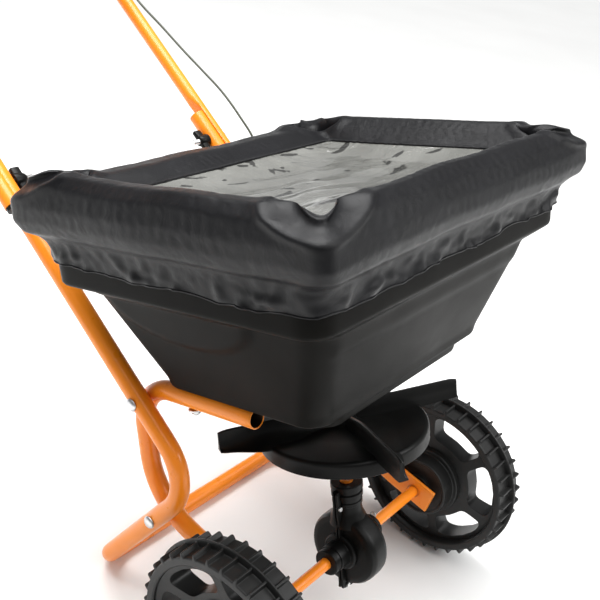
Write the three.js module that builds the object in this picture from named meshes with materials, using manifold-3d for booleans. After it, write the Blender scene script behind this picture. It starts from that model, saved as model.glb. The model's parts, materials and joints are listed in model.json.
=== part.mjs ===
// Walk-behind broadcast spreader, parked on its two wheels and its stand.
// Millimetres, +Z up, front towards -Y, origin at the centre of the footprint on the floor.
// Everything is drawn level about the axle, then the machine leans back until its stand rests.
import * as THREE from "three";
import { mergeVertices } from "three/addons/utils/BufferGeometryUtils.js";
import Module from "manifold-3d";

const wasm = await Module();
wasm.setup();

// Driving dimensions
const gap = 0.3;
const wheel = { radius: 131, cleatRadius: 127, rootRadius: 121, rimInside: 110, width: 56, inner: 203 };
const wheelParts = { cleats: 36, windows: 6, spoke: 15, windowMiddle: 84.5, windowHalf: 18.5 };
const axle = { radius: 8, halfLength: 276 };
const tube = { radius: 12.7, bore: 10.7 };
const sideTube = { x: 165, armHeight: 262, front: -6, rear: 194, topBend: 60, lowBend: 103.4 };
const sidePlate = { angle: 25.8, tail: 30, width: 39, thickness: 6 };
const stand = { x: 191, knee: [83, 155], kneeBend: 64.5, foot: [302, -32], footBend: 42 };
const handle = { bolt: [385, 507], slope: 49, radius: 11, lift: 4, reach: 400, bend: 62 };
const lap = { above: 48, below: 38, flat: 5, x: 196 };
const frameBolts = [[167, 251], [164, 86]];
const hopper = { wall: 3.5, bottom: 258, ledge: 275, bolt: [165, 95] };
const cover = { hem: 441, roll: 502, top: 537, halfX: 273, front: -203, rear: 248, thickness: 4 };
const pane = { halfX: 203, front: -152, rear: 159, height: 512, thickness: 2.5 };
const gearbox = { radius: 53, half: 19, boss: 53, bossRadius: 18, neck: 19, top: 99, wall: 3.5 };
const crown = { teeth: 24, inside: 22, outside: 31, root: -10.7, tip: -8.0, back: -14.5 };
const pinion = { teeth: 8, root: 7.5, tip: 10.2, low: 24.5, high: 29.5 };
const toothWidth = 1.8;
const shaft = { radius: 4, bottom: 18, top: 296 };
const spinner = { radius: 111, skirt: 165, plate: 186, bladeTip: 167, bladeTop: 212, blades: 4, turn: 60 };
const gate = { travel: 28, low: 250.7, high: 254.2, holeRadius: 14, holeX: 26, holeY: -24 };
const cableRadius = 1.75;
const lever = { s: 385, n: 40, x: 144.5, thickness: 4, lean: 24, anchorArm: 34, length: 84 };

const degrees = Math.PI / 180;
const slopeY = Math.cos(handle.slope * degrees);
const slopeZ = Math.sin(handle.slope * degrees);

// The lean that brings the foot bar down to the floor the wheels stand on
function leanAngle() {
  const [footY, footZ] = stand.foot;
  const reach = Math.hypot(footY, footZ);
  return Math.asin((wheel.radius - tube.radius) / reach) - Math.atan2(-footZ, footY);
}

// Materials
function finish(name, color, roughness, metalness) {
  return new THREE.MeshStandardMaterial({ name, color, roughness, metalness });
}
const orange = finish("orange_powder_coat", 0xf58220, 0.3, 0.1);
const blackPlastic = finish("black_plastic", 0x262524, 0.5, 0);
const zinc = finish("zinc_plate", 0xb9bcc0, 0.35, 1);
const nylonCloth = finish("black_nylon_cloth", 0x1f2024, 0.6, 0);
const vinyl = finish("clear_vinyl", 0x8f8f88, 0.15, 0);
const foam = finish("black_foam", 0x1c1c1c, 0.9, 0);
const jacket = finish("cable_jacket", 0x3a3d33, 0.5, 0);
const acetal = finish("white_acetal", 0xe4e2da, 0.4, 0);

// Solids: three.js geometry in, closed manifold out
function signedVolume(positions, triangles) {
  const [a, b, c] = [new THREE.Vector3(), new THREE.Vector3(), new THREE.Vector3()];
  let total = 0;
  for (let i = 0; i < triangles.length; i += 3) {
    a.fromArray(positions, 3 * triangles[i]);
    b.fromArray(positions, 3 * triangles[i + 1]);
    c.fromArray(positions, 3 * triangles[i + 2]);
    total += a.dot(b.cross(c));
  }
  return total;
}

function solid(geometry) {
  const bare = geometry.clone();
  bare.deleteAttribute("normal");
  bare.deleteAttribute("uv");
  const merged = mergeVertices(bare, 1e-3);
  const positions = merged.attributes.position.array;
  const triangles = [];
  for (let i = 0; i < merged.index.count; i += 3) {
    const [a, b, c] = [0, 1, 2].map((k) => merged.index.getX(i + k));
    if (a !== b && b !== c && c !== a) triangles.push(a, b, c);
  }
  if (signedVolume(positions, triangles) < 0) triangles.reverse();
  const mesh = new wasm.Mesh({
    numProp: 3,
    vertProperties: Float32Array.from(positions),
    triVerts: Uint32Array.from(triangles),
  });
  return new wasm.Manifold(mesh);
}

function surface(body) {
  const mesh = body.getMesh();
  const geometry = new THREE.BufferGeometry();
  geometry.setAttribute("position", new THREE.BufferAttribute(mesh.vertProperties, 3));
  geometry.setIndex(new THREE.BufferAttribute(mesh.triVerts, 1));
  geometry.computeVertexNormals();
  return geometry;
}

const join = (first, ...rest) => rest.reduce((body, piece) => body.add(piece), first);
const cut = (first, ...tools) => tools.reduce((body, tool) => body.subtract(tool), first);

// Simple bodies
function box(from, to) {
  const size = from.map((low, i) => to[i] - low);
  const middle = from.map((low, i) => (to[i] + low) / 2);
  return solid(new THREE.BoxGeometry(...size).translate(...middle));
}

function rodX(radius, from, to, y, z, sides = 10) {
  const geometry = new THREE.CylinderGeometry(radius, radius, Math.abs(to - from), sides);
  return solid(geometry.rotateZ(Math.PI / 2).translate((from + to) / 2, y, z));
}

function rodZ(radius, from, to, x, y, sides = 10) {
  const geometry = new THREE.CylinderGeometry(radius, radius, to - from, sides);
  return solid(geometry.rotateX(Math.PI / 2).translate(x, y, (from + to) / 2));
}

// A turned body about the X axis: profile points are [radius, x], closed on themselves
function turnedX(profile, segments) {
  const points = [...profile, profile[0]].map(([r, x]) => new THREE.Vector2(r, x));
  return solid(new THREE.LatheGeometry(points, segments).rotateZ(-Math.PI / 2));
}

// A turned body about the Z axis: profile points are [radius, z]
function turnedZ(profile, segments) {
  const points = [...profile, profile[0]].map(([r, z]) => new THREE.Vector2(r, z));
  return solid(new THREE.LatheGeometry(points, segments).rotateX(Math.PI / 2));
}

// A body skinned over rings of equal point counts; a closed skin returns to its first ring
function skinned(rings, closed) {
  const count = rings[0].length;
  const spans = closed ? rings.length : rings.length - 1;
  const index = [];
  for (let r = 0; r < spans; r++) {
    const low = r * count;
    const high = ((r + 1) % rings.length) * count;
    for (let i = 0; i < count; i++) {
      const next = (i + 1) % count;
      index.push(low + i, low + next, high + next, low + i, high + next, high + i);
    }
  }
  if (!closed) {
    const last = (rings.length - 1) * count;
    for (let i = 1; i < count - 1; i++) index.push(0, i + 1, i, last, last + i, last + i + 1);
  }
  const geometry = new THREE.BufferGeometry();
  geometry.setAttribute("position", new THREE.Float32BufferAttribute(rings.flat(2), 3));
  geometry.setIndex(index);
  return solid(geometry);
}

// A rounded rectangle lying level at height z
function roundedRing(halfX, front, rear, corner, z, steps = 4) {
  const ring = [];
  const corners = [[halfX, rear, 0], [-halfX, rear, 90], [-halfX, front, 180], [halfX, front, 270]];
  for (const [x, y, start] of corners) {
    const centreX = x - Math.sign(x) * corner;
    const centreY = y === rear ? y - corner : y + corner;
    for (let i = 0; i <= steps; i++) {
      const angle = (start + (90 * i) / steps) * degrees;
      ring.push([centreX + corner * Math.cos(angle), centreY + corner * Math.sin(angle), z]);
    }
  }
  return ring;
}

// A bent tube: straight runs between its stations, mitred where it turns
class BentRoute extends THREE.Curve {
  constructor(stations) {
    super();
    this.stations = stations;
  }
  getPoint(t) {
    const place = t * (this.stations.length - 1);
    const low = Math.min(Math.floor(place), this.stations.length - 2);
    return this.stations[low].clone().lerp(this.stations[low + 1], place - low);
  }
  getPointAt(u) {
    return this.getPoint(u);
  }
  getTangentAt(u) {
    const here = Math.round(u * (this.stations.length - 1));
    const before = this.stations[Math.max(here - 1, 0)];
    const at = this.stations[here];
    const after = this.stations[Math.min(here + 1, this.stations.length - 1)];
    const arriving = at.clone().sub(before).normalize();
    return arriving.add(after.clone().sub(at).normalize()).normalize();
  }
}

// Stations of a polyline whose corners are rounded: corners are [x, y, z, bend radius]
function bentStations(corners, stepDegrees = 20) {
  const stations = [];
  corners.forEach(([x, y, z, radius], i) => {
    const corner = new THREE.Vector3(x, y, z);
    if (!radius) {
      stations.push(corner);
      return;
    }
    const back = new THREE.Vector3(...corners[i - 1].slice(0, 3)).sub(corner).normalize();
    const onward = new THREE.Vector3(...corners[i + 1].slice(0, 3)).sub(corner).normalize();
    const turn = Math.PI - back.angleTo(onward);
    const centre = back.clone().add(onward).normalize();
    centre.multiplyScalar(radius / Math.cos(turn / 2)).add(corner);
    const start = back.clone().multiplyScalar(radius * Math.tan(turn / 2)).add(corner).sub(centre);
    const axis = new THREE.Vector3().crossVectors(onward, back).normalize();
    const steps = Math.ceil(turn / degrees / stepDegrees);
    for (let k = 0; k <= steps; k++) {
      stations.push(start.clone().applyAxisAngle(axis, (turn * k) / steps).add(centre));
    }
  });
  return stations;
}

function tubeAlong(stations, radius, sides = 10) {
  const section = [];
  for (let i = 0; i < sides; i++) {
    const angle = ((i + 0.5) / sides) * 2 * Math.PI;
    section.push(new THREE.Vector2(radius * Math.cos(angle), radius * Math.sin(angle)));
  }
  const options = { steps: stations.length - 1, extrudePath: new BentRoute(stations) };
  return solid(new THREE.ExtrudeGeometry(new THREE.Shape(section), options));
}

// A plate cut from an outline in a plane, standing across X: points are [y, z]
function plateX(outline, from, to) {
  const shape = new THREE.Shape(outline.map(([y, z]) => new THREE.Vector2(y, z)));
  const geometry = new THREE.ExtrudeGeometry(shape, { depth: to - from, bevelEnabled: false });
  return solid(geometry.rotateX(Math.PI / 2).rotateZ(Math.PI / 2).translate(from, 0, 0));
}

// Handle coordinates: s runs up the handle from the joint bolt, n stands off its upper side
function onHandle(s, n) {
  const [y, z] = handle.bolt;
  return [y + s * slopeY - n * slopeZ, z + s * slopeZ + n * slopeY];
}

// A box in handle coordinates
function handleBox(x0, x1, s0, s1, n0, n1) {
  const geometry = new THREE.BoxGeometry(x1 - x0, s1 - s0, n1 - n0);
  geometry.rotateX(handle.slope * degrees);
  const [y, z] = onHandle((s0 + s1) / 2, (n0 + n1) / 2);
  return solid(geometry.translate((x0 + x1) / 2, y, z));
}

// Side tube: open at the front, looped round at the back, pressed flat where the axle passes
function sideTubeBody(side) {
  const x = side * sideTube.x;
  const [slope, rise] = [Math.cos(sidePlate.angle * degrees), Math.sin(sidePlate.angle * degrees)];
  const along = (distance) => [x, distance * slope, distance * rise];
  const stations = bentStations([
    [x, sideTube.front, sideTube.armHeight, 0],
    [x, sideTube.rear, sideTube.armHeight, sideTube.topBend],
    [x, sideTube.rear, (sideTube.rear * rise) / slope, sideTube.lowBend],
    [...along(86), 0],
  ]);
  const presses = [[88, tube.radius - 0.1, tube.radius - 0.1], [70, 15, 9], [54, 19, 4], [40, 19.5, 3],
    [-sidePlate.tail, sidePlate.width / 2, sidePlate.thickness / 2]];
  const rings = presses.map(([distance, halfWidth, halfThick]) => {
    const [, y, z] = along(distance);
    const ring = [];
    for (let i = 0; i < 10; i++) {
      const angle = ((i + 0.5) / 10) * 2 * Math.PI;
      const squareness = distance < 60 ? 0.35 : 1;
      const across = Math.sign(Math.sin(angle)) * Math.abs(Math.sin(angle)) ** squareness;
      const out = Math.sign(Math.cos(angle)) * Math.abs(Math.cos(angle)) ** squareness;
      ring.push([x + out * halfThick, y - across * halfWidth * rise, z + across * halfWidth * slope]);
    }
    return ring;
  });
  const bore = solid(new THREE.CylinderGeometry(tube.bore, tube.bore, 80, 12));
  const openEnd = bore.translate([x, sideTube.front, sideTube.armHeight]);
  const holes = frameBolts.map(([y, z]) => rodX(4.3, x - 20, x + 20, y, z, 8));
  const axleHole = rodX(10.7, x - 20, x + 20, 0, 0, 16);
  const [boltX, boltY] = hopper.bolt;
  const hopperHole = rodZ(3.4, sideTube.armHeight - 20, sideTube.armHeight + 20, side * boltX, boltY, 8);
  return cut(join(tubeAlong(stations, tube.radius), skinned(rings, false)), openEnd, ...holes, axleHole,
    hopperHole);
}

// Stand tube: both lower handle arms, their knees, legs and the foot bar, bent from one length
function standBody() {
  const [topY, topZ] = onHandle(lap.above, 0);
  const arm = (side) => [
    [side * stand.x, topY, topZ, 0],
    [side * stand.x, ...stand.knee, stand.kneeBend],
    [side * stand.x, ...stand.foot, stand.footBend],
  ];
  const body = tubeAlong(bentStations([...arm(-1), ...arm(1).reverse()]), tube.radius);
  const tools = [];
  for (const side of [-1, 1]) {
    const [inside, outside] = [side * lap.x, side * (lap.x + 20)].sort((a, b) => a - b);
    tools.push(handleBox(inside, outside, -lap.below - 8, lap.above + 10, -20, 20));
    for (const [y, z] of [...frameBolts, handle.bolt]) {
      tools.push(rodX(4.3, side * stand.x - 20, side * stand.x + 20, y, z, 8));
    }
  }
  return cut(body, ...tools);
}

// Upper handle: a U of lighter tube, flattened where it laps outside the stand tube
const upperX = lap.x + gap + lap.flat;
function upperHandleBody() {
  const [lowY, lowZ] = onHandle(-lap.below, handle.lift);
  const [topY, topZ] = onHandle(handle.reach, handle.lift);
  const corners = [
    [-upperX, lowY, lowZ, 0],
    [-upperX, topY, topZ, handle.bend],
    [upperX, topY, topZ, handle.bend],
    [upperX, lowY, lowZ, 0],
  ];
  const tools = [];
  for (const side of [-1, 1]) {
    const face = side * (lap.x + gap);
    const [inside, outside] = [face, face - side * 20].sort((a, b) => a - b);
    tools.push(handleBox(inside, outside, -lap.below - 10, lap.above + 8, -20, 20));
    tools.push(rodX(4.3, side * upperX - 20, side * upperX + 20, ...handle.bolt, 12));
  }
  return cut(tubeAlong(bentStations(corners), handle.radius), ...tools);
}

function handlePlugBody(side) {
  const tip = -lap.below - gap;
  const plug = new THREE.CylinderGeometry(handle.radius - 1, handle.radius - 1, 5, 12);
  const [y, z] = onHandle(tip - 2.5, handle.lift);
  plug.rotateX(handle.slope * degrees).translate(side * upperX, y, z);
  const face = side * (lap.x + gap);
  const [inside, outside] = [face, face - side * 20].sort((a, b) => a - b);
  return cut(solid(plug), handleBox(inside, outside, tip - 10, tip + 5, -20, 20));
}

// Hopper: rounded tub with a collar, a tapered body, a ledge over the side tubes and a low band
function hopperBody() {
  const w = hopper.wall;
  const { bottom, ledge } = hopper;
  const outlet = [46, -44, 40, 8];
  const rings = [
    roundedRing(...outlet, bottom),
    roundedRing(140, -90, 121, 18, bottom),
    roundedRing(145, -95, 126, 20, ledge),
    roundedRing(179, -103, 134, 26, ledge),
    roundedRing(181, -105, 138, 25, ledge + 14),
    roundedRing(220, -152, 197, 29, 400),
    roundedRing(254, -174, 218, 26, 418),
    roundedRing(255, -175, 219, 27, 493),
    roundedRing(261, -182, 223, 30, 493),
    roundedRing(261, -182, 223, 30, 501),
    roundedRing(255 - w, -175 + w, 219 - w, 24, 501),
    roundedRing(254 - w, -174 + w, 218 - w, 23, 421),
    roundedRing(220 - w, -152 + w, 197 - w, 26, 403),
    roundedRing(180 - w, -104 + w, 137 - w, 22, ledge + 14),
    roundedRing(176 - w, -100 + w, 131 - w, 23, ledge + w),
    roundedRing(145 - w, -95 + w, 126 - w, 18, ledge + w),
    roundedRing(140 - w, -90 + w, 121 - w, 16, bottom + w),
    roundedRing(...outlet, bottom + w),
  ];
  const [boltX, boltY] = hopper.bolt;
  const holes = [-1, 1].map((side) => rodZ(3.4, ledge - 4, ledge + 8, side * boltX, boltY, 8));
  return cut(skinned(rings, true), ...holes);
}

// Rain cover: gathered skirt, soft roll over the rim and a top panel with a window opening
function rainCoverBody() {
  const { hem, roll, top, halfX, front, rear, thickness: t } = cover;
  const rings = [
    roundedRing(257, front + 25, rear - 27, 26, hem),
    roundedRing(262, front + 20, rear - 22, 30, hem),
    roundedRing(270, front + 6, rear - 8, 32, roll - 22),
    roundedRing(halfX, front, rear, 22, roll),
    roundedRing(halfX - 12, front + 10, rear - 10, 24, top - 8),
    roundedRing(halfX - 30, front + 26, rear - 28, 30, top),
    roundedRing(pane.halfX + gap, pane.front - gap, pane.rear + gap, 10, pane.height + t),
    roundedRing(pane.halfX + gap, pane.front - gap, pane.rear + gap, 10, pane.height),
    roundedRing(halfX - 32, front + 28, rear - 30, 28, top - t),
    roundedRing(halfX - 10, front + 12, rear - 12, 20, roll + 4),
    roundedRing(266, front + 9, rear - 12, 28, roll - 22),
  ];
  return skinned(rings, true);
}

function coverWindowBody() {
  const { halfX, front, rear, height, thickness } = pane;
  const rings = [height, height + thickness].map((z) => roundedRing(halfX, front, rear, 10, z));
  return skinned(rings, false);
}

// One rounded window between two spokes, as an outline about the wheel's centre
function windowOutline(middle, points = 16) {
  const { windows, spoke, windowMiddle, windowHalf } = wheelParts;
  const square = (value) => Math.sign(value) * Math.abs(value) ** 0.45;
  const outline = [];
  for (let i = 0; i < points; i++) {
    const angle = (i / points) * 2 * Math.PI;
    const radius = windowMiddle + windowHalf * square(Math.sin(angle));
    const halfTurn = Math.PI / windows - Math.asin(spoke / 2 / radius);
    const turn = middle + halfTurn * square(Math.cos(angle));
    outline.push([radius * Math.cos(turn), radius * Math.sin(turn)]);
  }
  return outline;
}

// Wheel: ribbed tread, dished web with windows, stepped hub. It is drawn from its inner face, x = 0
function wheelBody(side) {
  const { rootRadius, cleatRadius, rimInside, width, radius } = wheel;
  const outline = [];
  for (let i = 0; i < wheelParts.cleats * 2; i++) {
    const angle = (i / (wheelParts.cleats * 2)) * 2 * Math.PI;
    const reach = i % 2 ? cleatRadius : rootRadius;
    outline.push([reach * Math.cos(angle), reach * Math.sin(angle)]);
  }
  const tread = cut(plateX(outline, 0, width), rodX(rimInside, -5, width + 5, 0, 0, 18));
  const middle = width / 2;
  const rib = cut(rodX(radius, middle - 1.5, middle + 1.5, 0, 0, 36), rodX(115, 0, width, 0, 0, 18));
  const web = turnedX([[8.5, -31], [20, -31], [20, 12], [41, 12], [41, -28], [46, -28], [46, -4], [53, -4],
    [53, 6], [112, 15], [112, 51], [80, 40], [53, 34], [40, 31], [24, 60], [8.5, 60]], 24);
  const windows = [];
  for (let i = 0; i < wheelParts.windows; i++) {
    const middle = ((i + 0.5) / wheelParts.windows) * 2 * Math.PI + Math.PI / 2;
    windows.push(plateX(windowOutline(middle), -5, width + 5));
  }
  const body = cut(join(tread, rib, web), ...windows);
  const turned = side > 0 ? body : body.rotate([0, 0, 180]);
  return turned.translate([side * wheel.inner, 0, 0]);
}

function axleBody() {
  const pins = [[57, 1.9], [-269, 2.3], [269, 2.3]];
  const holes = pins.map(([x, radius]) => rodZ(radius, -20, 20, x, 0, 6));
  return cut(rodX(axle.radius, -axle.halfLength, axle.halfLength, 0, 0, 16), ...holes);
}

// A cotter pin across the axle, its eye proud above
function cotterBody(x, radius) {
  const leg = rodZ(radius, -13, 11, x, 0, 6);
  const eye = new THREE.CylinderGeometry(5, 5, 2 * radius, 8).rotateZ(Math.PI / 2).translate(x, 0, 15);
  const hole = rodX(2.6, x - 5, x + 5, 0, 15, 8);
  return join(leg, cut(solid(eye), hole));
}

function wheelWasherBody(side) {
  const [from, to] = [side * 263.4, side * 265.4].sort((a, b) => a - b);
  return cut(rodX(15, from, to, 0, 0, 16), rodX(8.4, from - 1, to + 1, 0, 0, 16));
}

// Bush: a sleeve in the pressed end with a collar on its outer face
function axleBushBody(side) {
  const x = side * sideTube.x;
  const face = side * (sidePlate.thickness / 2 + gap);
  const sleeve = rodX(10.4, x - side * 4, x + face, 0, 0, 16);
  const collar = rodX(14, x + face, x + face + side * 2.5, 0, 0, 16);
  return cut(join(sleeve, collar), rodX(8.4, x - 10, x + 10, 0, 0, 16));
}

// Gearbox half: round case, axle bosses, neck and parting flange; front is -1, rear is +1
function gearboxHalfBody(end) {
  const { radius, half, boss, bossRadius, neck, top, wall } = gearbox;
  const outer = join(
    turnedX([[0, -half], [radius - 7, -half], [radius, -half + 7], [radius, half - 7], [radius - 7, half],
      [0, half]], 20),
    rodX(bossRadius, -boss, boss, 0, 0, 12),
    turnedZ([[0, 40], [neck + 7, 40], [neck, 62], [neck, 86], [neck + 3, 88], [neck + 3, top], [0, top]], 12),
  );
  const flange = new THREE.Shape();
  flange.moveTo(-half - 5, -radius + 4);
  flange.absarc(0, 0, radius + 8, -118 * degrees, -62 * degrees, false);
  flange.lineTo(half + 5, 40);
  flange.lineTo(neck + 8, 58);
  flange.lineTo(neck + 8, top - 6);
  flange.lineTo(-neck - 8, top - 6);
  flange.lineTo(-neck - 8, 58);
  flange.lineTo(-half - 5, 40);
  const plate = new THREE.ExtrudeGeometry(flange, { depth: 8, bevelEnabled: false, curveSegments: 4 });
  const body = join(outer, solid(plate.rotateX(Math.PI / 2).translate(0, 4, 0)));
  const cavity = join(rodX(radius - 6, -half + wall, half - wall, 0, 0, 20), rodZ(9.4, 0, top + 5, 0, 0, 12));
  const keep = end < 0 ? box([-90, -90, -90], [90, -gap / 2, 130]) : box([-90, gap / 2, -90], [90, 90, 130]);
  const screws = [[-23, 68], [23, 68], [-15, -55], [15, -55]];
  const holes = screws.map(([x, z]) => rodY(1.9, -10, 10, x, z));
  return cut(body, cavity, rodX(8.5, -80, 80, 0, 0, 16), ...holes).intersect(keep);
}

function rodY(radius, from, to, x, z, sides = 8) {
  const geometry = new THREE.CylinderGeometry(radius, radius, to - from, sides);
  return solid(geometry.translate(x, (from + to) / 2, z));
}

const gearboxScrew = (x, z) => join(rodY(1.6, -5, 6.5, x, z), rodY(3.2, -6.8, -4.3, x, z));

// Crown gear, fixed to the axle, and the pinion that it drives on the upright shaft
function crownGearBody() {
  const { teeth, inside, outside, root, tip, back } = crown;
  const disc = rodX(outside, back, root, 0, 0, 24);
  const blades = [];
  for (let i = 0; i < teeth; i++) {
    const tooth = new THREE.BoxGeometry(tip - root + 1, toothWidth, outside - inside - 1);
    tooth.translate((tip + root - 1) / 2, 0, (outside + inside) / 2);
    blades.push(solid(tooth.rotateX(((i + 0.5) / teeth) * 2 * Math.PI)));
  }
  return cut(join(disc, ...blades), rodX(8.3, back - 5, tip + 5, 0, 0, 16));
}

function pinionBody() {
  const blades = [];
  for (let i = 0; i < pinion.teeth; i++) {
    const tooth = new THREE.BoxGeometry(pinion.tip - 6, toothWidth, pinion.high - pinion.low);
    tooth.translate((pinion.tip + 6) / 2, 0, (pinion.high + pinion.low) / 2);
    blades.push(solid(tooth.rotateZ((i / pinion.teeth) * 2 * Math.PI)));
  }
  const core = rodZ(pinion.root, pinion.low, pinion.high, 0, 0, 16);
  return cut(join(core, ...blades), rodZ(shaft.radius + gap, 0, 60, 0, 0, 12));
}

// Spinner: skirted disc, hub and four faired blades
function spinnerBody() {
  const { radius, skirt, plate, bladeTip, bladeTop, blades, turn } = spinner;
  const disc = turnedZ([[0, plate - 4], [radius - 4, plate - 4], [radius - 4, skirt], [radius, skirt],
    [radius, plate - 1], [radius - 2, plate], [0, plate]], 28);
  const pieces = [rodZ(15, skirt - 6, bladeTop - 2, 0, 0, 12)];
  for (let i = 0; i < blades; i++) {
    const outline = new THREE.Shape();
    outline.moveTo(8, plate - 2);
    outline.lineTo(bladeTip, plate - 4);
    outline.lineTo(bladeTip, bladeTop - 2);
    outline.lineTo(bladeTip - 5, bladeTop);
    outline.lineTo(8, bladeTop - 4);
    const blade = new THREE.ExtrudeGeometry(outline, { depth: 5, bevelEnabled: false });
    blade.rotateX(Math.PI / 2).translate(0, 2.5, 0).rotateZ((turn + (360 / blades) * i) * degrees);
    pieces.push(solid(blade));
  }
  return cut(join(disc, ...pieces), rodZ(shaft.radius + gap, 100, 260, 0, 0, 12));
}

// Agitator: a wire through the top of the shaft, inside the hopper
const agitatorHeight = 286;
const agitatorBody = () => rodX(2, -42, 42, 0, agitatorHeight, 8);
const shaftBody = () => cut(rodZ(shaft.radius, shaft.bottom, shaft.top, 0, 0, 12),
  rodX(2.3, -10, 10, 0, agitatorHeight, 8));

// Outlet plate under the hopper, with two outlet holes and rails that carry the gate
function outletHoles(shiftY, z0, z1) {
  return [-1, 1].map((side) => rodZ(gate.holeRadius, z0, z1, side * gate.holeX, gate.holeY + shiftY, 12));
}

function outletPlateBody() {
  const [low, high] = [gate.high + gap, hopper.bottom - gap];
  const pieces = [box([-76, -70, low], [76, 96, high])];
  for (const side of [-1, 1]) {
    const [x0, x1] = [side * 62.5, side * 76].sort((a, b) => a - b);
    const [lip0, lip1] = [side * 56, side * 76].sort((a, b) => a - b);
    pieces.push(box([x0, -70, gate.low - 3.3], [x1, 96, low + 1]));
    pieces.push(box([lip0, -70, gate.low - 3.3], [lip1, 96, gate.low - gap]));
  }
  return cut(join(...pieces), ...outletHoles(0, 240, 262), rodZ(5, 240, 262, 0, 0, 12));
}

function gateBody() {
  const { low, high, travel } = gate;
  const plate = box([-62, -66, low], [62, 66, high]);
  const tail = box([18, 60, low], [42, 152, high]);
  const tab = box([18, 148, low], [42, 152, high + 10]);
  const slot = box([-5.5, -travel - 6, low - 5], [5.5, 6, high + 5]);
  return cut(join(plate, tail, tab), slot, ...outletHoles(-travel, low - 5, high + 5));
}

// Bracket that ends the cable jacket behind the hopper
function cableStopBody() {
  const shelf = box([18, 127, 268], [42, 196, 271]);
  const tab = box([18, 193, 244], [42, 196, 271]);
  const screw = rodZ(2.4, 264, hopper.ledge - gap, 30, 130.5, 10);
  return cut(join(shelf, tab, screw), rodY(2.4, 180, 200, 30, 257));
}

// Control cable: gate tab, behind the hopper, in front of the handle, up to the lever
function cableStations() {
  const points = [
    [30, 152.4, 257], [30, 180, 257], [30, 214, 258], [38, 242, 266], [56, 259, 286], [82, 264, 318],
    [108, 262, 354], [130, 258, 394], [145, 256, 434], [151, 255.5, 472], [152, 257, 512],
    [152, 285, 552], [152, 316, 586], [152, 353, 617], [152, 390, 647], [152, 432, 683],
    [152, 483, 726], [152, ...onHandle(290, 70.5)],
  ];
  const endS = lever.s - lever.anchorArm * Math.sin(lever.lean * degrees) - 4.5;
  points.push([152, ...onHandle(endS - 24, 71)], [152, ...onHandle(endS, 71)]);
  const curve = new THREE.CatmullRomCurve3(points.map((p) => new THREE.Vector3(...p)), false, "centripetal");
  return curve.getSpacedPoints(36);
}

// Control bracket: a plate clamped on the cross bar, with a stop for the cable jacket
function controlBracketBody() {
  const outline = [[318, 30], [410, 30], [410, 55], [372, 64], [340, 82], [318, 82]];
  const plate = plateX(outline.map(([s, n]) => onHandle(s, n)), 140, 143);
  const clampBase = handle.lift + handle.radius + gap;
  const foot = handleBox(128, 143, handle.reach - 14, handle.reach + 10, clampBase, clampBase + 4);
  const riser = handleBox(140, 143, handle.reach - 14, handle.reach + 10, clampBase, 40);
  const stop = handleBox(140, 158, 318, 321, 62, 80);
  const [y, z] = onHandle(310, 71);
  const bore = new THREE.CylinderGeometry(3.4, 3.4, 60, 10).rotateX(handle.slope * degrees);
  const pivot = rodX(4.3, 130, 150, ...onHandle(lever.s, lever.n), 12);
  return cut(join(plate, foot, riser, stop), solid(bore.translate(152, y, z)), pivot);
}

// A point on the lever: along it from its pivot, and across it
function onLever(along, across) {
  const [sine, cosine] = [Math.sin(lever.lean * degrees), Math.cos(lever.lean * degrees)];
  return onHandle(lever.s - along * sine + across * cosine, lever.n + along * cosine + across * sine);
}

function leverBlade(grow) {
  const outline = [[-10, -9], [-10, 9], [30, 7], [lever.length + grow, 4 + grow],
    [lever.length + grow, -4 - grow], [30, -7]];
  const { x, thickness } = lever;
  return plateX(outline.map(([along, across]) => onLever(along, across)), x - grow, x + thickness + grow);
}

function controlLeverBody() {
  const { x, thickness, anchorArm } = lever;
  const stud = rodX(3.5, x + thickness - 1, x + thickness + 8, ...onLever(anchorArm, 0), 10);
  return cut(join(leverBlade(0), stud), rodX(4.3, x - 10, x + 20, ...onLever(0, 0), 12));
}

function leverKnobBody() {
  const [y, z] = onLever(lever.length + 2, 0);
  const knob = new THREE.SphereGeometry(13, 10, 7).scale(0.9, 1, 1.25);
  knob.rotateX((handle.slope + lever.lean) * degrees).translate(lever.x + lever.thickness / 2, y, z);
  return cut(solid(knob), leverBlade(gap));
}

function leverPinBody() {
  const [y, z] = onHandle(lever.s, lever.n);
  return join(rodX(4, 139.7, 149, y, z, 12), rodX(7, 136, 139.7, y, z, 12), rodX(7, 149, 152.5, y, z, 12));
}

function gripBody() {
  const [y, z] = onHandle(handle.reach, handle.lift);
  return cut(rodX(17, -118, 118, y, z, 12), rodX(handle.radius + gap + 0.6, -130, 130, y, z, 12));
}

// Fasteners
function frameBoltBody(side, y, z) {
  const outside = stand.x + tube.radius;
  const inside = sideTube.x - tube.radius;
  const shank = rodX(4, side * (inside - 9), side * (outside + 1), y, z, 8);
  const head = rodX(8.5, side * (outside + gap), side * (outside + 4.5), y, z, 10);
  const nut = rodX(7.5, side * (inside - gap), side * (inside - 7), y, z, 6);
  return join(shank, head, nut);
}

function hopperBoltBody(side) {
  const [x, y] = hopper.bolt;
  const under = sideTube.armHeight - tube.radius;
  return join(rodZ(3, under - 9, hopper.ledge + 7, side * x, y, 8),
    rodZ(6.5, hopper.ledge + hopper.wall + gap, hopper.ledge + hopper.wall + 3.5, side * x, y, 8),
    rodZ(6, under - 7, under - 2, side * x, y, 6), rodZ(9, under - 2.2, under - gap, side * x, y, 10));
}

// Joint bolt with its head outside and its thread standing past the wing knob
function jointBoltBody(side) {
  const [y, z] = handle.bolt;
  const outside = upperX + handle.radius;
  return join(rodX(4, side * 148, side * (outside + 1), y, z, 8),
    rodX(8.5, side * (outside + gap), side * (outside + 4.5), y, z, 10));
}

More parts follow.
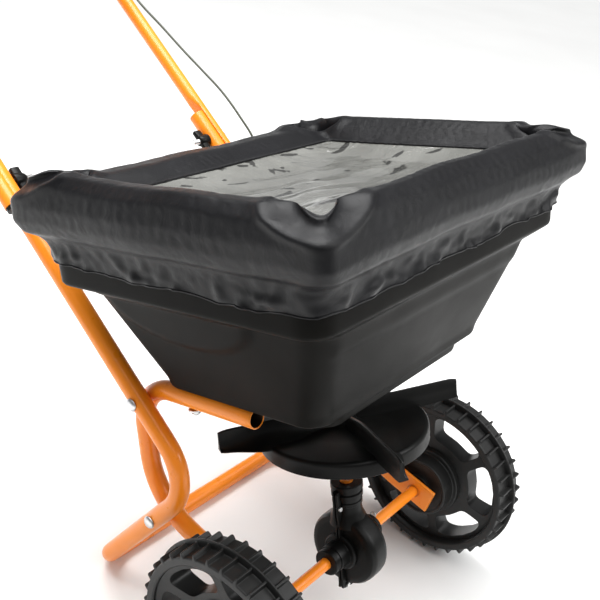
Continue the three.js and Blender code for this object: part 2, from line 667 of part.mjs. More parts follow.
function wingKnobBody(side) {
  const [y, z] = handle.bolt;
  const face = stand.x - tube.radius - gap;
  const hub = rodX(10, side * face, side * (face - 22), y, z, 10);
  const wings = handleBox(...[side * (face - 24), side * (face - 6)].sort((a, b) => a - b), -21, 21, -5, 5);
  return cut(join(hub, wings), rodX(4.3, side * 100, side * 200, y, z, 8));
}

const shaftBushBody = () => cut(rodZ(9, 82, gearbox.top + 3, 0, 0, 12), rodZ(4.4, 60, 120, 0, 0, 12));

// Assembly
const machine = new THREE.Group();
function add(name, body, material) {
  const mesh = new THREE.Mesh(surface(body), material);
  mesh.name = name;
  machine.add(mesh);
}

const sides = [["right", -1], ["left", 1]];
add("stand_tube", standBody(), orange);
add("hopper", hopperBody(), blackPlastic);
add("outlet_plate", outletPlateBody(), zinc);
add("gate", gateBody(), zinc);
add("cable_stop", cableStopBody(), zinc);
add("gearbox_front", gearboxHalfBody(-1), blackPlastic);
add("gearbox_rear", gearboxHalfBody(1), blackPlastic);
add("gearbox_screw_upper_right", gearboxScrew(-23, 68), zinc);
add("gearbox_screw_upper_left", gearboxScrew(23, 68), zinc);
add("gearbox_screw_lower_right", gearboxScrew(-15, -55), zinc);
add("gearbox_screw_lower_left", gearboxScrew(15, -55), zinc);
add("shaft_bush", shaftBushBody(), acetal);
add("axle", axleBody(), orange);
add("crown_gear", crownGearBody(), acetal);
add("cotter_pin_gearbox", cotterBody(57, 1.6), zinc);
add("spinner_shaft", shaftBody(), zinc);
add("pinion", pinionBody(), acetal);
add("spinner", spinnerBody(), blackPlastic);
add("agitator", agitatorBody(), zinc);
add("upper_handle", upperHandleBody(), orange);
add("handle_grip", gripBody(), foam);
add("control_bracket", controlBracketBody(), zinc);
add("control_lever", controlLeverBody(), orange);
add("lever_knob", leverKnobBody(), blackPlastic);
add("lever_pin", leverPinBody(), zinc);
add("control_cable", tubeAlong(cableStations(), cableRadius, 8), jacket);
add("rain_cover", rainCoverBody(), nylonCloth);
add("cover_window", coverWindowBody(), vinyl);
for (const [where, side] of sides) {
  add(`side_tube_${where}`, sideTubeBody(side), orange);
  add(`axle_bush_${where}`, axleBushBody(side), acetal);
  add(`wheel_${where}`, wheelBody(side), blackPlastic);
  add(`wheel_washer_${where}`, wheelWasherBody(side), zinc);
  add(`cotter_pin_${where}`, cotterBody(side * 269, 2), zinc);
  add(`frame_bolt_upper_${where}`, frameBoltBody(side, ...frameBolts[0]), zinc);
  add(`frame_bolt_lower_${where}`, frameBoltBody(side, ...frameBolts[1]), zinc);
  add(`hopper_bolt_${where}`, hopperBoltBody(side), zinc);
  add(`joint_bolt_${where}`, jointBoltBody(side), zinc);
  add(`wing_knob_${where}`, wingKnobBody(side), blackPlastic);
  add(`handle_plug_${where}`, handlePlugBody(side), blackPlastic);
}

machine.rotation.x = -leanAngle();
const footprint = new THREE.Box3().setFromObject(machine, true);
const middle = footprint.getCenter(new THREE.Vector3());
machine.position.set(-middle.x, -middle.y, -footprint.min.z);

const spreader = new THREE.Group();
spreader.add(machine);
export default spreader;
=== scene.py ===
"""Walk-behind broadcast spreader with a fabric rain cover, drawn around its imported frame.

Pieces are drawn in the machine's own frame: millimetres, level about the axle centre, front
towards -Y. PLACE leans that frame back on to the stand and puts it where the joints say.
"""
import json
import math

import bmesh
import bpy
import numpy as np
from mathutils import Matrix, Vector
from mathutils.noise import noise


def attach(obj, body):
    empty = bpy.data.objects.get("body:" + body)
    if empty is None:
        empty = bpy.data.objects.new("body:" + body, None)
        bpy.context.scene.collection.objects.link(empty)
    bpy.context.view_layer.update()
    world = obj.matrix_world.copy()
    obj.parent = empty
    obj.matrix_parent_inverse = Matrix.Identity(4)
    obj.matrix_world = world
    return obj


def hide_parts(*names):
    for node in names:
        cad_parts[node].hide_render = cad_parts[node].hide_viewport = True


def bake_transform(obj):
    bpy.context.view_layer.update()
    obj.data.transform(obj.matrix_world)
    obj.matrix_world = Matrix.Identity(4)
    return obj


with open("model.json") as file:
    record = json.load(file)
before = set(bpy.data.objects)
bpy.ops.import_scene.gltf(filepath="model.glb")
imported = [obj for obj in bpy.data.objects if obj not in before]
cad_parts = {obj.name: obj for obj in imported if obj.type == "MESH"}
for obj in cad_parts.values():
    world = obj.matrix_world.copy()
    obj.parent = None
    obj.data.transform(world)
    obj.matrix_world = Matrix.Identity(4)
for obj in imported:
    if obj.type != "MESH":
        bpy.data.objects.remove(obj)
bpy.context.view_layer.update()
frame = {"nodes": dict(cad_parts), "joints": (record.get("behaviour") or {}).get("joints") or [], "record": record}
scene = bpy.context.scene

# ---- placement
joints = {j["name"]: j for j in frame["joints"]}
AXLE = Vector(joints["axle_spin"]["pos_m"])
UP = Vector(joints["spinner_spin"]["axis"]).normalized()
PLACE = Matrix.Translation(AXLE) @ Matrix.Rotation(math.atan2(-UP.y, UP.z), 4, "X")
MM = PLACE @ Matrix.Scale(0.001, 4)


def in_scene(name, data):
    """A new object in the scene."""
    thing = bpy.data.objects.new(name, data)
    scene.collection.objects.link(thing)
    return thing


# ---- camera
camera = in_scene("camera", bpy.data.cameras.new("camera"))
right, up = Vector((0.6318, -0.7578, 0.1630)), Vector((0.2864, 0.4235, 0.8594))
right.normalize()
back = right.cross(up).normalized()
up = back.cross(right)
turned = Matrix((right, up, back)).transposed().to_4x4()
camera.matrix_world = Matrix.Translation((-0.7889, -0.7560, 0.9722)) @ turned
camera.data.lens = 51.245
camera.data.sensor_width = 36
camera.data.clip_start, camera.data.clip_end = 0.01, 50
scene.camera = camera


# ---- small mathematics
def smooth(low, high, value):
    t = min(1.0, max(0.0, (value - low) / (high - low)))
    return t * t * (3 - 2 * t)


def lerp(a, b, t):
    return tuple(p + (q - p) * t for p, q in zip(a, b))


def circle(count):
    """The (cosine, sine) pairs of equal steps round a circle."""
    turns = [2 * math.pi * k / count for k in range(count)]
    return [(math.cos(a), math.sin(a)) for a in turns]


def squared(value, power):
    """A cosine or sine pressed towards a square's."""
    return math.copysign(abs(value) ** power, value)


SLOPE = math.radians(49)
BOLT = (385, 507)


def on_handle(s, n):
    """The (y, z) place at distance s up the handle from its bolt and n off its upper side."""
    return (
        BOLT[0] + s * math.cos(SLOPE) - n * math.sin(SLOPE),
        BOLT[1] + s * math.sin(SLOPE) + n * math.cos(SLOPE),
    )


def along_handle(y, z):
    return (y - BOLT[0]) * math.cos(SLOPE) + (z - BOLT[1]) * math.sin(SLOPE)


# ---- materials
class Nodes:
    """A node material around one Principled shader, with object coordinates in metres."""

    def __init__(self, name, **sockets):
        self.material = bpy.data.materials.new(name)
        self.material.use_nodes = True
        self.tree = self.material.node_tree
        self.shader = self.tree.nodes["Principled BSDF"]
        for socket, value in sockets.items():
            self.shader.inputs[socket.replace("_", " ")].default_value = value
        self.coordinates = self.new("TexCoord")
        self.normal = None

    def new(self, kind):
        return self.tree.nodes.new("ShaderNode" + kind)

    def put(self, value, socket):
        """Sets a number or colour on a socket, or links another node's output to it."""
        if isinstance(value, tuple):
            socket.default_value = (*value, 1)
        elif isinstance(value, (int, float)):
            socket.default_value = value
        else:
            self.tree.links.new(value, socket)

    def noise(self, scale, detail, roughness=0.55, distortion=0.0, stretch=None):
        node = self.new("TexNoise")
        for name, value in (("Scale", scale), ("Detail", detail), ("Roughness", roughness),
                            ("Distortion", distortion)):
            node.inputs[name].default_value = value
        source = self.coordinates.outputs["Object"]
        if stretch:
            mapping = self.new("Mapping")
            mapping.inputs["Scale"].default_value = stretch
            self.put(source, mapping.inputs["Vector"])
            source = mapping.outputs["Vector"]
        self.put(source, node.inputs["Vector"])
        return node.outputs["Fac"]

    # a texture below is a tuple of the arguments of noise

    def tones(self, texture, dark, light, low=0.3, high=0.7):
        """Two colours with a noise between them."""
        node = self.new("ValToRGB")
        for element, place, colour in zip(node.color_ramp.elements, (low, high), (dark, light)):
            element.position = place
            element.color = (*colour, 1)
        self.put(self.noise(*texture), node.inputs["Fac"])
        return node.outputs["Color"]

    def mix(self, factor, a, b):
        node = self.new("Mix")
        node.data_type = "RGBA"
        for place, value in ((0, factor), (6, a), (7, b)):
            self.put(value, node.inputs[place])
        return node.outputs[2]

    def product(self, a, b):
        node = self.new("Math")
        node.operation = "MULTIPLY"
        self.put(a, node.inputs[0])
        self.put(b, node.inputs[1])
        return node.outputs[0]

    def bump(self, height, strength, distance):
        """Height is a texture or another node's output."""
        if isinstance(height, tuple):
            height = self.noise(*height)
        node = self.new("Bump")
        node.inputs["Strength"].default_value = strength
        node.inputs["Distance"].default_value = distance
        self.put(height, node.inputs["Height"])
        if self.normal:
            self.put(self.normal, node.inputs["Normal"])
        self.normal = node.outputs["Normal"]

    def colour(self, value):
        self.put(value, self.shader.inputs["Base Color"])

    def rough(self, texture, low, high):
        node = self.new("MapRange")
        for name, value in (("From Min", 0.3), ("From Max", 0.7), ("To Min", low), ("To Max", high)):
            node.inputs[name].default_value = value
        self.put(self.noise(*texture), node.inputs["Value"])
        self.put(node.outputs["Result"], self.shader.inputs["Roughness"])

    def done(self):
        if self.normal:
            self.put(self.normal, self.shader.inputs["Normal"])
        return self.material


BLACK = (0, 0, 0)


def powder_coat():
    n = Nodes("orange_powder_coat", Metallic=0.0, Coat_Weight=0.22, Coat_Roughness=0.10,
              Specular_IOR_Level=0.35)
    tone = n.tones((9, 2), (0.94, 0.250, 0.010), (0.98, 0.285, 0.016))
    dust = n.tones((420, 4), BLACK, (0.25, 0.25, 0.25), 0.66, 0.80)
    n.colour(n.mix(n.product(dust, 0.25), tone, (0.95, 0.42, 0.12)))
    n.rough((35, 4), 0.26, 0.38)
    n.bump((520, 2), 0.10, 0.0004)
    n.bump((60, 2), 0.05, 0.0010)
    return n.done()


def moulded(name, dark, light, low, high, grain, strength, shine):
    """Moulded plastic: a fine spark-eroded grain, handling marks and a little dust."""
    n = Nodes(name, Metallic=0.0, Specular_IOR_Level=shine)
    cloud = n.tones((14, 5), dark, light)
    specks = n.tones((260, 3), BLACK, (0.4, 0.4, 0.4), 0.68, 0.8)
    n.colour(n.mix(n.product(specks, 0.10), cloud, (0.09, 0.088, 0.085)))
    n.rough((9, 4, 0.6, 0.3), low, high)
    n.bump((grain, 3), strength, 0.0004)
    n.bump((22, 2), 0.06, 0.004)
    return n.done()


def zinc():
    n = Nodes("zinc_plate", Metallic=1.0)
    n.colour(n.tones((90, 3), (0.55, 0.56, 0.58), (0.74, 0.74, 0.72)))
    n.rough((70, 1), 0.27, 0.35)
    n.bump((180, 1, 0.55, 0.0, (1, 1, 3)), 0.03, 0.0002)
    return n.done()


def acetal():
    """Axle bushes, whose collar is orange in the photo."""
    n = Nodes("bush_acetal", Subsurface_Weight=0.1)
    n.colour(n.tones((60, 2), (0.62, 0.15, 0.008), (0.74, 0.19, 0.012)))
    n.rough((160, 3), 0.3, 0.45)
    n.bump((600, 2), 0.05, 0.0003)
    return n.done()


def nylon():
    """Coated nylon: a plain weave laid on the cloth's own UVs, soft creases and a low sheen."""
    n = Nodes("nylon_cloth", Sheen_Weight=0.01, Sheen_Roughness=0.3, Specular_IOR_Level=0.20)
    n.colour(n.tones((20, 4), (0.004, 0.004, 0.0048), (0.0065, 0.0065, 0.0078)))
    threads = []
    for direction in "XY":
        wave = n.new("TexWave")
        wave.bands_direction = direction
        wave.inputs["Scale"].default_value = 600
        wave.inputs["Distortion"].default_value = 0.6
        n.put(n.coordinates.outputs["UV"], wave.inputs["Vector"])
        threads.append(wave.outputs["Fac"])
    n.bump(n.product(*threads), 0.25, 0.0003)
    n.bump((38, 5, 0.6, 1.6), 0.22, 0.0028)
    n.bump((11, 3, 0.5, 1.0), 0.22, 0.007)
    n.rough((60, 3), 0.28, 0.38)
    return n.done()


def vinyl():
    """Clear soft vinyl with long slack creases. Its grey colour is a painted reflection of the bright studio, and
    its near-black patches are painted shade.
    """
    n = Nodes("clear_vinyl", Transmission_Weight=0.55, IOR=1.5, Coat_Weight=0.6, Coat_Roughness=0.06)
    # painted reflection: this grey stands in for the light the film reflects
    painted_reflection_grey = n.tones((16, 4), (0.29, 0.29, 0.268), (0.40, 0.40, 0.372), 0.35, 0.65)
    # painted shade: sharp near-black patches mixed into the grey
    painted_dark_patches = n.tones((10, 2.5, 0.5, 2.2, (1, 1.5, 1)), BLACK, (0.9, 0.9, 0.9), 0.60, 0.61)
    n.colour(n.mix(painted_dark_patches, painted_reflection_grey, (0.035, 0.034, 0.031)))
    n.rough((25, 4), 0.05, 0.20)
    n.bump((18, 4, 0.5, 2.4, (1, 1.4, 1)), 0.35, 0.006)
    return n.done()


def foam():
    n = Nodes("grip_foam", Sheen_Weight=0.2)
    n.colour(n.tones((300, 4), (0.008, 0.008, 0.008), (0.022, 0.022, 0.022)))
    n.rough((120, 3), 0.8, 0.95)
    n.bump((900, 4), 0.5, 0.0008)
    return n.done()


def jacket():
    n = Nodes("cable_jacket", Specular_IOR_Level=0.5)
    n.colour(n.tones((40, 3), (0.035, 0.040, 0.024), (0.06, 0.066, 0.042)))
    n.rough((200, 3), 0.35, 0.5)
    n.bump((500, 2), 0.1, 0.0003)
    return n.done()


ORANGE = powder_coat()
PLASTIC = moulded("black_plastic", (0.004, 0.004, 0.0038), (0.007, 0.007, 0.0065),
                  0.28, 0.40, 1500, 0.2, 0.16)
TUB = moulded("hopper_plastic", (0.0045, 0.0042, 0.0036), (0.0068, 0.0064, 0.0055),
              0.38, 0.48, 1100, 0.3, 0.05)
TYRE = moulded("wheel_plastic", (0.010, 0.010, 0.0097), (0.019, 0.019, 0.0185),
               0.36, 0.50, 900, 0.25, 0.34)
# the side tube's bore: bare steel inside, painted near-black as the shade of the hollow
BORE_SHADE_STEEL = moulded("bore_steel_painted_shade", (0.010, 0.006, 0.004), (0.022, 0.013, 0.008),
                0.5, 0.7, 700, 0.3, 0.2)
ZINC, ACETAL, NYLON, VINYL, FOAM, JACKET = zinc(), acetal(), nylon(), vinyl(), foam(), jacket()
SLOTS = {
    "orange_powder_coat": ORANGE, "black_plastic": PLASTIC, "wheel_plastic": TYRE, "zinc_plate": ZINC,
    "white_acetal": ACETAL, "nylon_cloth": NYLON, "clear_vinyl": VINYL, "grip_foam": FOAM,
    "cable_jacket": JACKET,
}
SLOT_OF = {material: slot for slot, material in SLOTS.items()}


# ---- mesh building
def grid_faces(rows, columns, around=True, closed=False, first=0):
    """Quads between rows of points; around closes each row, and closed returns to the first row."""
    faces = []
    for r in range(rows if closed else rows - 1):
        low, high = first + r * columns, first + ((r + 1) % rows) * columns
        for i in range(columns if around else columns - 1):
            j = (i + 1) % columns
            faces.append((low + i, low + j, high + j, high + i))
    return faces


class Build:
    """Collects bodies in machine millimetres and makes one object of them."""

    def __init__(self):
        self.points, self.faces = [], []

    def add(self, points, faces):
        first = len(self.points)
        self.points += [tuple(p) for p in points]
        self.faces += [tuple(first + i for i in f) for f in faces]
        return self

    def rings(self, rings, ends=True, closed=False):
        count = len(rings[0])
        faces = grid_faces(len(rings), count, closed=closed)
        if ends and not closed:
            last = (len(rings) - 1) * count
            faces += [tuple(range(count))[::-1], tuple(range(last, last + count))]
        return self.add([p for ring in rings for p in ring], faces)

    def lathe(self, profile, axis="X", centre=(0, 0, 0), steps=48, closed=True, start=0.0):
        """profile is a list of (radius, place along the axis)."""
        rings = []
        for radius, place in profile:
            ring = []
            for i in range(steps):
                a = start + 2 * math.pi * i / steps
                u, v = radius * math.cos(a), radius * math.sin(a)
                p = {"X": (place, u, v), "Y": (v, place, u), "Z": (u, v, place)}[axis]
                ring.append(tuple(c + q for c, q in zip(centre, p)))
            rings.append(ring)
        return self.rings(rings, closed=closed)

    def tube(self, route, radius, sides=24, ends=True, closed=False):
        """A round tube along a route. radius is a number or a list with one for each station."""
        route = [Vector(p) for p in route]
        count = len(route)
        tangents = []
        for i in range(count):
            if closed:
                a, b = route[i - 1], route[(i + 1) % count]
            else:
                a, b = route[max(i - 1, 0)], route[min(i + 1, count - 1)]
            tangents.append(((route[i] - a).normalized() + (b - route[i]).normalized()).normalized())
        side = tangents[0].cross(Vector((0.13, 0.2, 0.97)))
        if side.length < 0.2:
            side = tangents[0].cross(Vector((1, 0, 0)))
        side.normalize()
        rings = []
        for i, (point, tangent) in enumerate(zip(route, tangents)):
            side = (side - tangent * side.dot(tangent)).normalized()
            other = tangent.cross(side)
            r = radius[i] if isinstance(radius, list) else radius
            rings.append([point + (side * c + other * s) * r for c, s in circle(sides)])
        return self.rings(rings, ends=ends, closed=closed)

    def move(self, change):
        self.points = [tuple(change(Vector(p))) for p in self.points]
        return self

    def piece(self, name, material, body=None, node=None, slot=None, bevel=0, angle=35, weld=0, keep=None):
        """Makes the object, which rides on body and stands for the CAD node.

        Edges over angle degrees are sharp, unless bevel rounds them. keep is the (point, normal) of a plane
        that cuts off what lies beyond it. Lengths are in millimetres.
        """
        mesh = bpy.data.meshes.new(name)
        mesh.from_pydata([MM @ Vector(p) for p in self.points], [], self.faces)
        work = bmesh.new()
        work.from_mesh(mesh)
        if weld:
            bmesh.ops.remove_doubles(work, verts=work.verts, dist=weld * 0.001)
        if keep:
            point, normal = keep
            everything = list(work.verts) + list(work.edges) + list(work.faces)
            flat = PLACE.to_3x3() @ Vector(normal)
            cut = bmesh.ops.bisect_plane(work, geom=everything, plane_co=MM @ Vector(point),
                                         plane_no=flat, clear_outer=True)
            rim = [e for e in cut["geom_cut"] if isinstance(e, bmesh.types.BMEdge)]
            bmesh.ops.holes_fill(work, edges=rim)
        bmesh.ops.recalc_face_normals(work, faces=work.faces)
        for f in work.faces:
            f.smooth = True
        if not bevel:
            for e in work.edges:
                sharp = len(e.link_faces) == 2 and e.calc_face_angle(0) > math.radians(angle)
                e.smooth = not sharp
        work.to_mesh(mesh)
        work.free()
        piece = in_scene(name, mesh)
        mesh.materials.append(material)
        if bevel:
            soften_edges(piece, bevel)
        if body:
            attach(piece, body)
        if node:
            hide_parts(node)
        slot = slot or SLOT_OF.get(material)
        return piece


def soften_edges(piece, width):
    bevel = piece.modifiers.new("bevel", "BEVEL")
    bevel.width = width * 0.001
    bevel.segments = 2
    bevel.limit_method = "ANGLE"
    bevel.angle_limit = math.radians(32)
    bevel.use_clamp_overlap = True
    piece.modifiers.new("weighted_normals", "WEIGHTED_NORMAL")


def bent_route(corners, step=6.0, straight=18.0):
    """Stations along a polyline whose corners are rounded: corners are (x, y, z, bend radius)."""
    pieces = []
    for i, (x, y, z, radius) in enumerate(corners):
        corner = Vector((x, y, z))
        if not radius:
            pieces.append([corner])
            continue
        before = (Vector(corners[i - 1][:3]) - corner).normalized()
        after = (Vector(corners[i + 1][:3]) - corner).normalized()
        turn = math.pi - before.angle(after)
        centre = corner + (before + after).normalized() * radius / math.cos(turn / 2)
        start = corner + before * radius * math.tan(turn / 2) - centre
        axis = after.cross(before).normalized()
        count = max(2, math.ceil(math.degrees(turn) / step))
        arc = [centre + Matrix.Rotation(turn * k / count, 3, axis) @ start for k in range(count + 1)]
        pieces.append(arc)
    route = []
    for arc in pieces:
        if route:
            gap = (arc[0] - route[-1]).length
            count = int(gap / straight)
            route += [route[-1].lerp(arc[0], k / (count + 1)) for k in range(1, count + 1)]
        route += arc
    return route


def around_rectangle(half_x, front, rear, corner, z, along_x, along_y):
    """A rounded rectangle at height z, with along_x and along_y steps from corner to corner."""
    middle = [(half_x - corner, rear - corner), (-half_x + corner, rear - corner),
              (-half_x + corner, front + corner), (half_x - corner, front + corner)]
    ring = []
    for k in range(4):
        (x0, y0), (x1, y1) = middle[k], middle[(k + 1) % 4]
        a0 = math.pi / 4 + k * math.pi / 2
        straight = math.hypot(x1 - x0, y1 - y0)
        bend = corner * math.pi / 4
        total = straight + 2 * bend
        count = along_x if k % 2 == 0 else along_y
        for i in range(count):
            d = total * i / count
            if d < bend:
                a, cx, cy = a0 + d / corner, x0, y0
            elif d <= bend + straight:
                t = (d - bend) / straight
                a, cx, cy = a0 + math.pi / 4, x0 + (x1 - x0) * t, y0 + (y1 - y0) * t
            else:
                a, cx, cy = a0 + math.pi / 4 + (d - bend - straight) / corner, x1, y1
            ring.append((cx + corner * math.cos(a), cy + corner * math.sin(a), z))
    return ring


def softened(rows, reach):
    """Rows of ring sizes with every turn between them rounded over a distance."""
    made = [rows[0]]
    for before, here, after in zip(rows, rows[1:], rows[2:]):
        a = math.dist((before[0], before[4]), (here[0], here[4]))
        b = math.dist((after[0], after[4]), (here[0], here[4]))
        start = lerp(here, before, min(0.45, reach / max(a, 1e-6)))
        end = lerp(here, after, min(0.45, reach / max(b, 1e-6)))
        for k in range(5):
            t = k / 4
            made.append(lerp(lerp(start, here, t), lerp(here, end, t), t))
    return made + [rows[-1]]


def divided(rows, longest):
    """Rows of ring sizes with none further apart than a distance."""
    made = [rows[0]]
    for a, b in zip(rows, rows[1:]):
        count = max(1, math.ceil(math.dist((a[0], a[4]), (b[0], b[4])) / longest))
        made += [lerp(a, b, k / count) for k in range(1, count + 1)]
    return made


SIDES = (("right", -1), ("left", 1))

# ---- tube frame
TUBE, UPPER_TUBE = 12.7, 11.0  # outer radii
LAP_INSIDE, UPPER_X, ARM_X, SIDE_TUBE_X = 196.0, 201.3, 191, 165


def lap_of_lower(p):
    pressed = smooth(-66, -46, along_handle(p.y, p.z))
    limit = LAP_INSIDE + (1 - pressed) * 8
    p.x = math.copysign(min(abs(p.x), limit), p.x)
    return p


def lap_of_upper(p):
    pressed = 1 - smooth(56, 80, along_handle(p.y, p.z))
    limit = LAP_INSIDE + 0.3 - (1 - pressed) * 8
    p.x = math.copysign(max(abs(p.x), limit), p.x)
    return p


def stand_arm(side):
    x = side * ARM_X
    return [(x, *on_handle(48, 0), 0), (x, 83, 155, 64.5), (x, 302, -32, 42)]


stand_route = bent_route([*stand_arm(-1), *stand_arm(1)[::-1]], 5)
Build().tube(stand_route, TUBE, 28).move(lap_of_lower).piece(
    "stand_tube_bent", ORANGE, "frame", "stand_tube", angle=50)

upper_low, upper_high = on_handle(-38, 4), on_handle(400, 4)
upper_route = bent_route([(-UPPER_X, *upper_low, 0), (-UPPER_X, *upper_high, 62),
                          (UPPER_X, *upper_high, 62), (UPPER_X, *upper_low, 0)], 5, 12)
Build().tube(upper_route, UPPER_TUBE, 28).move(lap_of_upper).piece(
    "upper_handle_bent", ORANGE, "upper_handle", "upper_handle", angle=50)

PLATE_SLOPE = math.radians(25.8)
MOUTH_Y, MOUTH_Z = -6, 262  # the side tube's open front end
LOOP_Y = 194
# place up the slope, half width, half thickness, and how square the section is: tube into pressed plate
PRESSED = ((80, 13.4, 11.2, 1), (72, 15.2, 8.4, 0.9), (64, 17.4, 5.6, 0.75), (56, 19.0, 3.8, 0.55),
           (48, 19.4, 3.1, 0.4), (40, 19.5, 3, 0.3), (12, 19.5, 3, 0.25), (-14, 19.5, 3, 0.25),
           (-29.4, 19.5, 3, 0.25), (-30, 19.1, 2.6, 0.25))


def side_tube(where, side):
    sides, outward = 28, Vector((1, 0, 0))
    x = SIDE_TUBE_X * side

    def down(distance):
        return (x, distance * math.cos(PLATE_SLOPE), distance * math.sin(PLATE_SLOPE))

    low = LOOP_Y * math.tan(PLATE_SLOPE)
    route = bent_route([(x, MOUTH_Y, MOUTH_Z, 0), (x, LOOP_Y, MOUTH_Z, 60), (x, LOOP_Y, low, 103.4),
                        (*down(88), 0)], 5)
    rings = [[(x + radius * c, MOUTH_Y + depth, MOUTH_Z + radius * s) for c, s in circle(sides)]
             for depth, radius in ((60, 0.5), (60, 10.6), (0.6, 10.7), (0, 11.1), (0, 12.2))]
    for i, here in enumerate(route):
        ahead = route[min(i + 1, len(route) - 1)] - route[max(i - 1, 0)]
        normal = Vector((0, -ahead.z, ahead.y)).normalized()
        if i == 0:
            here = here + Vector((0, 0.5, 0))
        rings.append([here + outward * TUBE * c + normal * TUBE * s for c, s in circle(sides)])
    normal = Vector((0, -math.sin(PLATE_SLOPE), math.cos(PLATE_SLOPE)))
    for distance, wide, thick, power in PRESSED:
        rings.append([Vector(down(distance)) + outward * (squared(c, power) * thick)
                      + normal * (squared(s, power) * wide) for c, s in circle(sides)])
    arm = Build().rings(rings).piece(
        f"side_tube_{where}_bent", ORANGE, "frame", f"side_tube_{where}", angle=55)
    # painted shade: the faces inside the open bore take the near-black bore material
    arm.data.materials.append(BORE_SHADE_STEEL)
    for polygon in arm.data.polygons:
        middle = MM.inverted() @ polygon.center
        if -4.5 < middle.y < 55 and math.hypot(middle.x - x, middle.z - MOUTH_Z) < 11.6:
            polygon.material_index = 1


for where, side in SIDES:
    side_tube(where, side)

Build().lathe([(0.5, -276), (7.2, -276), (8, -275), (8, -272), (8, -58), (8, 58), (8, 272), (8, 275),
               (7.2, 276), (0.5, 276)], steps=32, closed=False).piece(
    "axle_rod", ORANGE, "axle", "axle", angle=50)


# ---- hopper
def hopper_piece():
    wall = 3.5
    outer = softened([
        (46, -44, 40, 8, 258), (140, -90, 121, 20, 258), (145, -95, 126, 24, 274),
        (178, -102, 135, 27, 275.5), (181, -105, 138, 28, 288), (220, -152, 197, 31, 400),
        (253, -173, 217, 28, 415), (255, -175, 219, 29, 492.5), (261, -182, 223, 32, 493),
        (261, -182, 223, 32, 501),
    ], 4.0)
    inner = [(s[0] - wall, s[1] + wall, s[2] - wall, s[3] - 3, z) for s, z in (
        ((255, -175, 219, 29), 501), ((254, -174, 218, 28), 421), ((220, -152, 197, 31), 403),
        ((180, -104, 137, 28), 289), ((176, -100, 131, 27), 278.5), ((145, -95, 126, 24), 278.5),
        ((140, -90, 121, 20), 261.5))] + [(46, -44, 40, 8, 261.5)]
    rings = []
    for row in divided(outer, 5.0):
        ring = []
        for x, y, z in around_rectangle(*row, 56, 48):
            # shallow half-round boss under the collar on both sides
            if abs(x) > row[0] - 3 and z > 300:
                reach = math.hypot((y - 51) / 114, min(0, z - 400) / 50)
                x += math.copysign(5.0 * (1 - smooth(0.90, 1.02, reach)) * (1 - smooth(402, 412, z)), x)
            # faint fold across the front and the back
            if z > 300 and (y < row[1] + 3 or y > row[2] - 3):
                y += math.copysign(1.6 * smooth(371, 375, z) * (1 - smooth(378, 398, z)), y)
            ring.append((x, y, z))
        rings.append(ring)
    rings += [around_rectangle(*row, 56, 48) for row in divided(softened(inner, 3.0), 12.0)]
    Build().rings(rings, closed=True).piece("hopper_tub", TUB, "frame", "hopper", "black_plastic", angle=40)


hopper_piece()


# ---- wheels
TREAD, CLEAT_TOP, CLEATS = 121, 127, 36
WHEEL_X = 203


